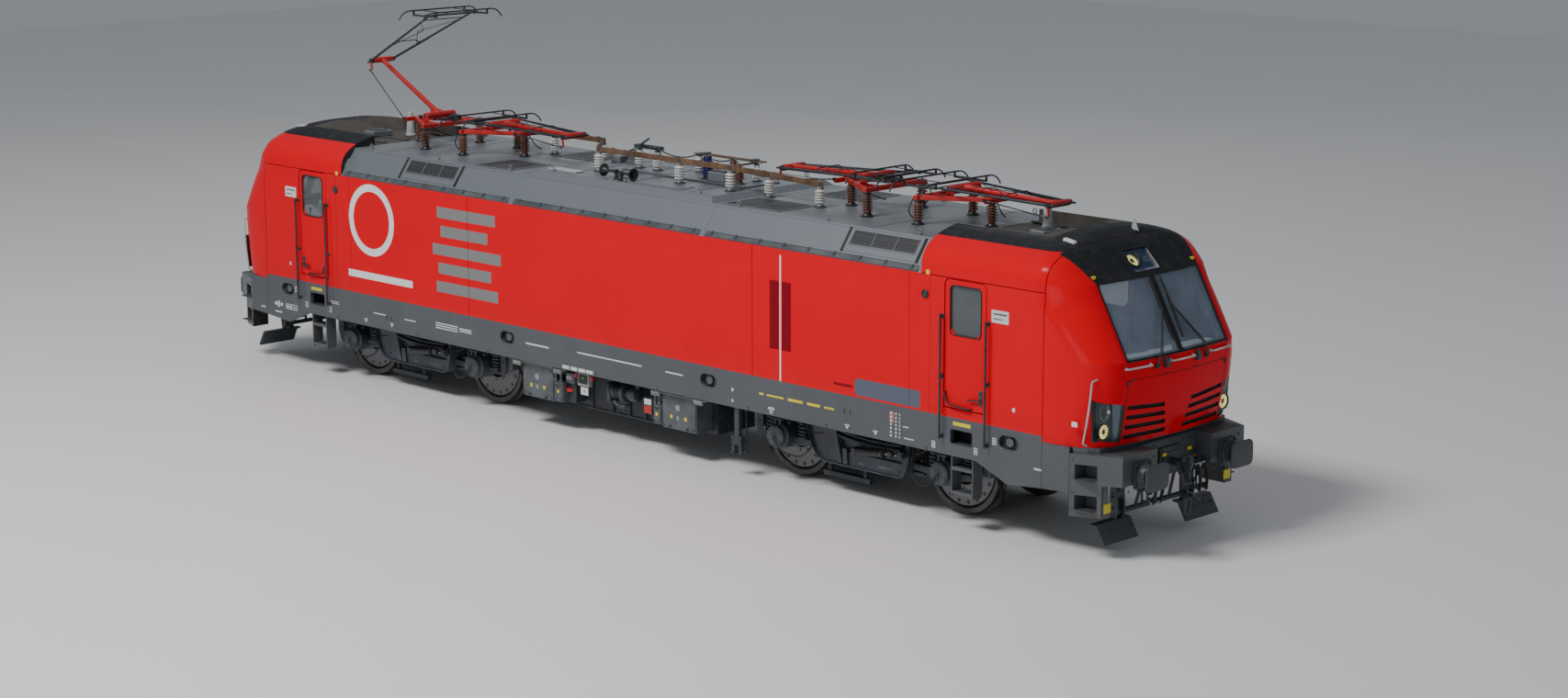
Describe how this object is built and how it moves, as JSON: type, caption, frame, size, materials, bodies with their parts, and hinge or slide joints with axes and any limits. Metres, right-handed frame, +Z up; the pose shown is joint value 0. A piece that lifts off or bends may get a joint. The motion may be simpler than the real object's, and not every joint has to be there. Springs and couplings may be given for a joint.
{
  "type": "electric locomotive",
  "caption": "Electric mainline locomotive: two driving cabs, hollow body, motor bogies with rolling wheelsets, hinged cab doors and folding roof pantographs.",
  "frame": {"origin": "on the floor plane at the bottom of the wheel flanges, under the middle of the locomotive", "axes": "+X towards the front cab, +Y to its left, +Z up; the rail top is at z = 0.030"},
  "size_m": [18.98, 3.164, 5.868],
  "materials": {
    "red_paint": "glossy coach paint",
    "grey_paint": "satin coach paint",
    "roof_grey": "matt paint, dusty",
    "dark_metal": "satin",
    "dark_steel": "satin, dusty",
    "wheel_steel": "turned steel",
    "bright_steel": "brushed",
    "glass": "tinted clear",
    "cab_lining": "grained",
    "seat_fabric": "woven",
    "copper": "dull, browned",
    "pale_ceramic": "glazed",
    "brown_ceramic": "glazed",
    "pantograph_red": "satin paint"
  },
  "bodies": {
    "carbody": {"underframe": "grey_paint", "sill_left": "grey_paint", "sill_right": "grey_paint", "headstocks": "grey_paint", "side_wall_left": "red_paint", "side_wall_right": "red_paint", "cab_shell_front": "red_paint", "cab_shell_rear": "red_paint", "roof_hood": "roof_grey", "roof_trim": "dark_metal", "windscreens": "glass", "headlamps": "glass", "cab_fittings": "cab_lining", "door_hinges": "bright_steel", "driver_seats": "seat_fabric", "buffers": "dark_steel", "draw_gear": "dark_steel", "rail_guards": "dark_steel", "door_steps": "grey_paint", "handrails": "bright_steel", "transformer": "dark_steel", "underfloor_boxes": "grey_paint", "busbar": "copper", "busbar_insulators": "pale_ceramic", "roof_switchgear": "dark_metal", "horns_antennas": "dark_metal", "pantograph_frames": "pantograph_red", "pantograph_insulators": "brown_ceramic", "wipers": "dark_metal"},
    "bogie_front": {"bogie_frame_front": "dark_steel", "bogie_springs_front": "dark_steel", "traction_motors_front": "dark_steel"},
    "bogie_rear": {"bogie_frame_rear": "dark_steel", "bogie_springs_rear": "dark_steel", "traction_motors_rear": "dark_steel"},
    "wheelset_1": {"wheelset_1": "wheel_steel"},
    "wheelset_2": {"wheelset_2": "wheel_steel"},
    "wheelset_3": {"wheelset_3": "wheel_steel"},
    "wheelset_4": {"wheelset_4": "wheel_steel"},
    "door_front_left": {"door_front_left": "red_paint"},
    "door_front_right": {"door_front_right": "red_paint"},
    "door_rear_left": {"door_rear_left": "red_paint"},
    "door_rear_right": {"door_rear_right": "red_paint"},
    "lower_arm_1": {"lower_arm_1": "pantograph_red"},
    "upper_arm_1": {"upper_arm_1": "dark_metal"},
    "head_1": {"head_1": "dark_metal"},
    "coupling_rod_1": {"coupling_rod_1": "dark_metal"},
    "lower_arm_2": {"lower_arm_2": "pantograph_red"},
    "upper_arm_2": {"upper_arm_2": "dark_metal"},
    "head_2": {"head_2": "dark_metal"},
    "coupling_rod_2": {"coupling_rod_2": "dark_metal"},
    "lower_arm_3": {"lower_arm_3": "pantograph_red"},
    "upper_arm_3": {"upper_arm_3": "dark_metal"},
    "head_3": {"head_3": "dark_metal"},
    "coupling_rod_3": {"coupling_rod_3": "dark_metal"},
    "lower_arm_4": {"lower_arm_4": "pantograph_red"},
    "upper_arm_4": {"upper_arm_4": "dark_metal"},
    "head_4": {"head_4": "dark_metal"},
    "coupling_rod_4": {"coupling_rod_4": "dark_metal"}
  },
  "joints": [
    {"name": "bogie_front_swivel", "type": "hinge", "parent": "carbody", "child": "bogie_front", "pos_m": [4.75, 0, 1], "axis": [0, 0, 1], "range_deg": [-3, 3]},
    {"name": "bogie_rear_swivel", "type": "hinge", "parent": "carbody", "child": "bogie_rear", "pos_m": [-4.75, 0, 1], "axis": [0, 0, 1], "range_deg": [-3, 3]},
    {"name": "wheelset_1_roll", "type": "hinge", "parent": "bogie_front", "child": "wheelset_1", "pos_m": [6.25, 0, 0.655], "axis": [0, 1, 0], "continuous": true},
    {"name": "wheelset_2_roll", "type": "hinge", "parent": "bogie_front", "child": "wheelset_2", "pos_m": [3.25, 0, 0.655], "axis": [0, 1, 0], "continuous": true},
    {"name": "wheelset_3_roll", "type": "hinge", "parent": "bogie_rear", "child": "wheelset_3", "pos_m": [-3.25, 0, 0.655], "axis": [0, 1, 0], "continuous": true},
    {"name": "wheelset_4_roll", "type": "hinge", "parent": "bogie_rear", "child": "wheelset_4", "pos_m": [-6.25, 0, 0.655], "axis": [0, 1, 0], "continuous": true},
    {"name": "door_front_left_swing", "type": "hinge", "parent": "carbody", "child": "door_front_left", "pos_m": [6.52, 1.44, 2.4], "axis": [0, 0, -1], "range_deg": [0, 80]},
    {"name": "door_front_right_swing", "type": "hinge", "parent": "carbody", "child": "door_front_right", "pos_m": [6.52, -1.44, 2.4], "axis": [0, 0, 1], "range_deg": [0, 80]},
    {"name": "door_rear_left_swing", "type": "hinge", "parent": "carbody", "child": "door_rear_left", "pos_m": [-6.52, 1.44, 2.4], "axis": [0, 0, 1], "range_deg": [0, 80]},
    {"name": "door_rear_right_swing", "type": "hinge", "parent": "carbody", "child": "door_rear_right", "pos_m": [-6.52, -1.44, 2.4], "axis": [0, 0, -1], "range_deg": [0, 80]},
    {"name": "pantograph_1_raise", "type": "hinge", "parent": "carbody", "child": "lower_arm_1", "pos_m": [-5.49, 0, 4.19], "axis": [0, 1, 0], "range_deg": [-29.4, 22]},
    {"name": "upper_arm_1_fold", "type": "hinge", "parent": "lower_arm_1", "child": "upper_arm_1", "pos_m": [-6.9217, 0, 4.94805], "axis": [0, 1, 0], "range_deg": [-39.9, 53.22]},
    {"name": "head_1_level", "type": "hinge", "parent": "upper_arm_1", "child": "head_1", "pos_m": [-5.16195, 0, 5.78816], "axis": [0, 1, 0], "range_deg": [-23.82, 17.9]},
    {"name": "coupling_rod_1_swing", "type": "hinge", "parent": "carbody", "child": "coupling_rod_1", "pos_m": [-6.065, 0, 4.104], "axis": [0, 1, 0], "range_deg": [-46.02, 34.51]},
    {"name": "pantograph_2_raise", "type": "hinge", "parent": "carbody", "child": "lower_arm_2", "pos_m": [-3.93, 0, 4.19], "axis": [0, -1, 0], "range_deg": [0, 51]},
    {"name": "upper_arm_2_fold", "type": "hinge", "parent": "lower_arm_2", "child": "upper_arm_2", "pos_m": [-2.31056, 0, 4.14759], "axis": [0, -1, 0], "range_deg": [-92.1, 0]},
    {"name": "head_2_level", "type": "hinge", "parent": "upper_arm_2", "child": "head_2", "pos_m": [-4.25937, 0, 4.21565], "axis": [0, -1, 0], "range_deg": [0, 41.1]},
    {"name": "coupling_rod_2_swing", "type": "hinge", "parent": "carbody", "child": "coupling_rod_2", "pos_m": [-3.355, 0, 4.104], "axis": [0, -1, 0], "range_deg": [0, 79.6]},
    {"name": "pantograph_3_raise", "type": "hinge", "parent": "carbody", "child": "lower_arm_3", "pos_m": [3.93, 0, 4.19], "axis": [0, 1, 0], "range_deg": [0, 51]},
    {"name": "upper_arm_3_fold", "type": "hinge", "parent": "lower_arm_3", "child": "upper_arm_3", "pos_m": [2.31056, 0, 4.14759], "axis": [0, 1, 0], "range_deg": [-92.1, 0]},
    {"name": "head_3_level", "type": "hinge", "parent": "upper_arm_3", "child": "head_3", "pos_m": [4.25937, 0, 4.21565], "axis": [0, 1, 0], "range_deg": [0, 41.1]},
    {"name": "coupling_rod_3_swing", "type": "hinge", "parent": "carbody", "child": "coupling_rod_3", "pos_m": [3.355, 0, 4.104], "axis": [0, 1, 0], "range_deg": [0, 79.6]},
    {"name": "pantograph_4_raise", "type": "hinge", "parent": "carbody", "child": "lower_arm_4", "pos_m": [5.49, 0, 4.19], "axis": [0, -1, 0], "range_deg": [0, 51]},
    {"name": "upper_arm_4_fold", "type": "hinge", "parent": "lower_arm_4", "child": "upper_arm_4", "pos_m": [7.10944, 0, 4.14759], "axis": [0, -1, 0], "range_deg": [-92.1, 0]},
    {"name": "head_4_level", "type": "hinge", "parent": "upper_arm_4", "child": "head_4", "pos_m": [5.16063, 0, 4.21565], "axis": [0, -1, 0], "range_deg": [0, 41.1]},
    {"name": "coupling_rod_4_swing", "type": "hinge", "parent": "carbody", "child": "coupling_rod_4", "pos_m": [6.065, 0, 4.104], "axis": [0, -1, 0], "range_deg": [0, 79.6]}
  ],
  "couplings": [
    {"joint": "upper_arm_1_fold", "follows": "pantograph_1_raise", "ratio": -1.8},
    {"joint": "head_1_level", "follows": "pantograph_1_raise", "ratio": 0.8},
    {"joint": "coupling_rod_1_swing", "follows": "pantograph_1_raise", "ratio": 1.555},
    {"joint": "upper_arm_2_fold", "follows": "pantograph_2_raise", "ratio": -1.8},
    {"joint": "head_2_level", "follows": "pantograph_2_raise", "ratio": 0.8},
    {"joint": "coupling_rod_2_swing", "follows": "pantograph_2_raise", "ratio": 1.555},
    {"joint": "upper_arm_3_fold", "follows": "pantograph_3_raise", "ratio": -1.8},
    {"joint": "head_3_level", "follows": "pantograph_3_raise", "ratio": 0.8},
    {"joint": "coupling_rod_3_swing", "follows": "pantograph_3_raise", "ratio": 1.555},
    {"joint": "upper_arm_4_fold", "follows": "pantograph_4_raise", "ratio": -1.8},
    {"joint": "head_4_level", "follows": "pantograph_4_raise", "ratio": 0.8},
    {"joint": "coupling_rod_4_swing", "follows": "pantograph_4_raise", "ratio": 1.555}
  ]
}
